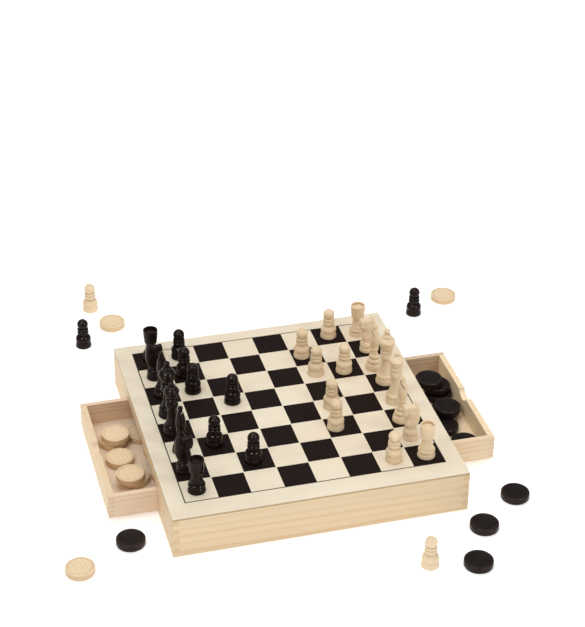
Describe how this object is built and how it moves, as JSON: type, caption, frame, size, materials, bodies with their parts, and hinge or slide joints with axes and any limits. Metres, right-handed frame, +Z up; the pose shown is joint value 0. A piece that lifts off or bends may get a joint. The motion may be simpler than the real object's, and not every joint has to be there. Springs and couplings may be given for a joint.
{
  "type": "chess_and_draughts_set",
  "caption": "Wooden box with a chequered board on top and a drawer in each end, holding turned chessmen and round draughts, for playing chess and draughts and storing the pieces.",
  "frame": {"origin": "middle of the flat underside of the box, on the table", "axes": "+X towards the white men and the right drawer, +Y to the rear, +Z up"},
  "size_m": [0.5083, 0.5473, 0.1075],
  "materials": {
    "board": "satin lacquer with printed dark squares",
    "pine": "satin clear lacquer",
    "plywood": "bare sanded",
    "drawer_wood": "bare sanded",
    "drawer_floor_ply": "bare sanded",
    "black_lacquer": "gloss black lacquer",
    "natural_wood": "matt clear wax",
    "natural_draught_wood": "satin clear lacquer",
    "black_draught_lacquer": "satin black lacquer"
  },
  "bodies": {
    "box": {"top_board": "board", "bottom_panel": "plywood", "front_wall": "pine", "rear_wall": "pine", "left_end_wall": "pine", "right_end_wall": "pine", "guide_strips": "pine", "centre_stop": "pine"},
    "left_drawer": {"left_drawer_front": "drawer_wood", "left_drawer_back": "drawer_wood", "left_drawer_near_side": "drawer_wood", "left_drawer_far_side": "drawer_wood", "left_drawer_floor": "drawer_floor_ply", "natural_draughts_in_drawer": "natural_draught_wood"},
    "right_drawer": {"right_drawer_front": "drawer_wood", "right_drawer_back": "drawer_wood", "right_drawer_near_side": "drawer_wood", "right_drawer_far_side": "drawer_wood", "right_drawer_floor": "drawer_floor_ply", "black_draughts_in_drawer": "black_draught_lacquer"},
    "black_king_body": {"black_king": "black_lacquer"},
    "black_queen_body": {"black_queen": "black_lacquer"},
    "black_bishop_1_body": {"black_bishop_1": "black_lacquer"},
    "black_bishop_2_body": {"black_bishop_2": "black_lacquer"},
    "black_knight_1_body": {"black_knight_1": "black_lacquer"},
    "black_knight_2_body": {"black_knight_2": "black_lacquer"},
    "black_rook_1_body": {"black_rook_1": "black_lacquer"},
    "black_rook_2_body": {"black_rook_2": "black_lacquer"},
    "black_pawn_1_body": {"black_pawn_1": "black_lacquer"},
    "black_pawn_2_body": {"black_pawn_2": "black_lacquer"},
    "black_pawn_3_body": {"black_pawn_3": "black_lacquer"},
    "black_pawn_4_body": {"black_pawn_4": "black_lacquer"},
    "black_pawn_5_body": {"black_pawn_5": "black_lacquer"},
    "black_pawn_6_body": {"black_pawn_6": "black_lacquer"},
    "black_pawn_7_body": {"black_pawn_7": "black_lacquer"},
    "black_pawn_8_body": {"black_pawn_8": "black_lacquer"},
    "white_king_body": {"white_king": "natural_wood"},
    "white_queen_body": {"white_queen": "natural_wood"},
    "white_bishop_1_body": {"white_bishop_1": "natural_wood"},
    "white_bishop_2_body": {"white_bishop_2": "natural_wood"},
    "white_knight_1_body": {"white_knight_1": "natural_wood"},
    "white_knight_2_body": {"white_knight_2": "natural_wood"},
    "white_rook_1_body": {"white_rook_1": "natural_wood"},
    "white_rook_2_body": {"white_rook_2": "natural_wood"},
    "white_pawn_1_body": {"white_pawn_1": "natural_wood"},
    "white_pawn_2_body": {"white_pawn_2": "natural_wood"},
    "white_pawn_3_body": {"white_pawn_3": "natural_wood"},
    "white_pawn_4_body": {"white_pawn_4": "natural_wood"},
    "white_pawn_5_body": {"white_pawn_5": "natural_wood"},
    "white_pawn_6_body": {"white_pawn_6": "natural_wood"},
    "white_pawn_7_body": {"white_pawn_7": "natural_wood"},
    "white_pawn_8_body": {"white_pawn_8": "natural_wood"},
    "white_pawn_9_body": {"white_pawn_9": "natural_wood"},
    "natural_draught_1_body": {"natural_draught_1": "natural_draught_wood"},
    "natural_draught_2_body": {"natural_draught_2": "natural_draught_wood"},
    "natural_draught_3_body": {"natural_draught_3": "natural_draught_wood"},
    "black_draught_1_body": {"black_draught_1": "black_draught_lacquer"},
    "black_draught_2_body": {"black_draught_2": "black_draught_lacquer"},
    "black_draught_3_body": {"black_draught_3": "black_draught_lacquer"},
    "black_draught_4_body": {"black_draught_4": "black_draught_lacquer"}
  },
  "joints": [
    {"name": "drawer_left_slide", "type": "slide", "parent": "box", "child": "left_drawer", "axis": [-1, 0, 0], "range_m": [-0.0482, 0.0718]},
    {"name": "drawer_right_slide", "type": "slide", "parent": "box", "child": "right_drawer", "axis": [1, 0, 0], "range_m": [-0.0507, 0.0693]},
    {"name": "lift_black_king", "type": "slide", "parent": "box", "child": "black_king_body", "axis": [0, 0, 1], "range_m": [0, 0.07]},
    {"name": "lift_black_queen", "type": "slide", "parent": "box", "child": "black_queen_body", "axis": [0, 0, 1], "range_m": [0, 0.07]},
    {"name": "lift_black_bishop_1", "type": "slide", "parent": "box", "child": "black_bishop_1_body", "axis": [0, 0, 1], "range_m": [0, 0.07]},
    {"name": "lift_black_bishop_2", "type": "slide", "parent": "box", "child": "black_bishop_2_body", "axis": [0, 0, 1], "range_m": [0, 0.07]},
    {"name": "lift_black_knight_1", "type": "slide", "parent": "box", "child": "black_knight_1_body", "axis": [0, 0, 1], "range_m": [0, 0.07]},
    {"name": "lift_black_knight_2", "type": "slide", "parent": "box", "child": "black_knight_2_body", "axis": [0, 0, 1], "range_m": [0, 0.07]},
    {"name": "lift_black_rook_1", "type": "slide", "parent": "box", "child": "black_rook_1_body", "axis": [0, 0, 1], "range_m": [0, 0.07]},
    {"name": "lift_black_rook_2", "type": "slide", "parent": "box", "child": "black_rook_2_body", "axis": [0, 0, 1], "range_m": [0, 0.07]},
    {"name": "lift_black_pawn_1", "type": "slide", "parent": "box", "child": "black_pawn_1_body", "axis": [0, 0, 1], "range_m": [0, 0.07]},
    {"name": "lift_black_pawn_2", "type": "slide", "parent": "box", "child": "black_pawn_2_body", "axis": [0, 0, 1], "range_m": [0, 0.07]},
    {"name": "lift_black_pawn_3", "type": "slide", "parent": "box", "child": "black_pawn_3_body", "axis": [0, 0, 1], "range_m": [0, 0.07]},
    {"name": "lift_black_pawn_4", "type": "slide", "parent": "box", "child": "black_pawn_4_body", "axis": [0, 0, 1], "range_m": [0, 0.07]},
    {"name": "lift_black_pawn_5", "type": "slide", "parent": "box", "child": "black_pawn_5_body", "axis": [0, 0, 1], "range_m": [0, 0.07]},
    {"name": "lift_black_pawn_6", "type": "slide", "parent": "box", "child": "black_pawn_6_body", "axis": [0, 0, 1], "range_m": [0, 0.07]},
    {"name": "lift_black_pawn_7", "type": "slide", "parent": "box", "child": "black_pawn_7_body", "axis": [0, 0, 1], "range_m": [0, 0.07]},
    {"name": "lift_black_pawn_8", "type": "slide", "parent": "box", "child": "black_pawn_8_body", "axis": [0, 0, 1], "range_m": [0, 0.07]},
    {"name": "lift_white_king", "type": "slide", "parent": "box", "child": "white_king_body", "axis": [0, 0, 1], "range_m": [0, 0.07]},
    {"name": "lift_white_queen", "type": "slide", "parent": "box", "child": "white_queen_body", "axis": [0, 0, 1], "range_m": [0, 0.07]},
    {"name": "lift_white_bishop_1", "type": "slide", "parent": "box", "child": "white_bishop_1_body", "axis": [0, 0, 1], "range_m": [0, 0.07]},
    {"name": "lift_white_bishop_2", "type": "slide", "parent": "box", "child": "white_bishop_2_body", "axis": [0, 0, 1], "range_m": [0, 0.07]},
    {"name": "lift_white_knight_1", "type": "slide", "parent": "box", "child": "white_knight_1_body", "axis": [0, 0, 1], "range_m": [0, 0.07]},
    {"name": "lift_white_knight_2", "type": "slide", "parent": "box", "child": "white_knight_2_body", "axis": [0, 0, 1], "range_m": [0, 0.07]},
    {"name": "lift_white_rook_1", "type": "slide", "parent": "box", "child": "white_rook_1_body", "axis": [0, 0, 1], "range_m": [0, 0.07]},
    {"name": "lift_white_rook_2", "type": "slide", "parent": "box", "child": "white_rook_2_body", "axis": [0, 0, 1], "range_m": [0, 0.07]},
    {"name": "lift_white_pawn_1", "type": "slide", "parent": "box", "child": "white_pawn_1_body", "axis": [0, 0, 1], "range_m": [0, 0.07]},
    {"name": "lift_white_pawn_2", "type": "slide", "parent": "box", "child": "white_pawn_2_body", "axis": [0, 0, 1], "range_m": [0, 0.07]},
    {"name": "lift_white_pawn_3", "type": "slide", "parent": "box", "child": "white_pawn_3_body", "axis": [0, 0, 1], "range_m": [0, 0.07]},
    {"name": "lift_white_pawn_4", "type": "slide", "parent": "box", "child": "white_pawn_4_body", "axis": [0, 0, 1], "range_m": [0, 0.07]},
    {"name": "lift_white_pawn_5", "type": "slide", "parent": "box", "child": "white_pawn_5_body", "axis": [0, 0, 1], "range_m": [0, 0.07]},
    {"name": "lift_white_pawn_6", "type": "slide", "parent": "box", "child": "white_pawn_6_body", "axis": [0, 0, 1], "range_m": [0, 0.07]},
    {"name": "lift_white_pawn_7", "type": "slide", "parent": "box", "child": "white_pawn_7_body", "axis": [0, 0, 1], "range_m": [0, 0.07]},
    {"name": "lift_white_pawn_8", "type": "slide", "parent": "box", "child": "white_pawn_8_body", "axis": [0, 0, 1], "range_m": [0, 0.07]},
    {"name": "lift_white_pawn_9", "type": "slide", "parent": "box", "child": "white_pawn_9_body", "axis": [0, 0, 1], "range_m": [0, 0.07]},
    {"name": "lift_natural_draught_1", "type": "slide", "parent": "box", "child": "natural_draught_1_body", "axis": [0, 0, 1], "range_m": [0, 0.07]},
    {"name": "lift_natural_draught_2", "type": "slide", "parent": "box", "child": "natural_draught_2_body", "axis": [0, 0, 1], "range_m": [0, 0.07]},
    {"name": "lift_natural_draught_3", "type": "slide", "parent": "box", "child": "natural_draught_3_body", "axis": [0, 0, 1], "range_m": [0, 0.07]},
    {"name": "lift_black_draught_1", "type": "slide", "parent": "box", "child": "black_draught_1_body", "axis": [0, 0, 1], "range_m": [0, 0.07]},
    {"name": "lift_black_draught_2", "type": "slide", "parent": "box", "child": "black_draught_2_body", "axis": [0, 0, 1], "range_m": [0, 0.07]},
    {"name": "lift_black_draught_3", "type": "slide", "parent": "box", "child": "black_draught_3_body", "axis": [0, 0, 1], "range_m": [0, 0.07]},
    {"name": "lift_black_draught_4", "type": "slide", "parent": "box", "child": "black_draught_4_body", "axis": [0, 0, 1], "range_m": [0, 0.07]}
  ]
}
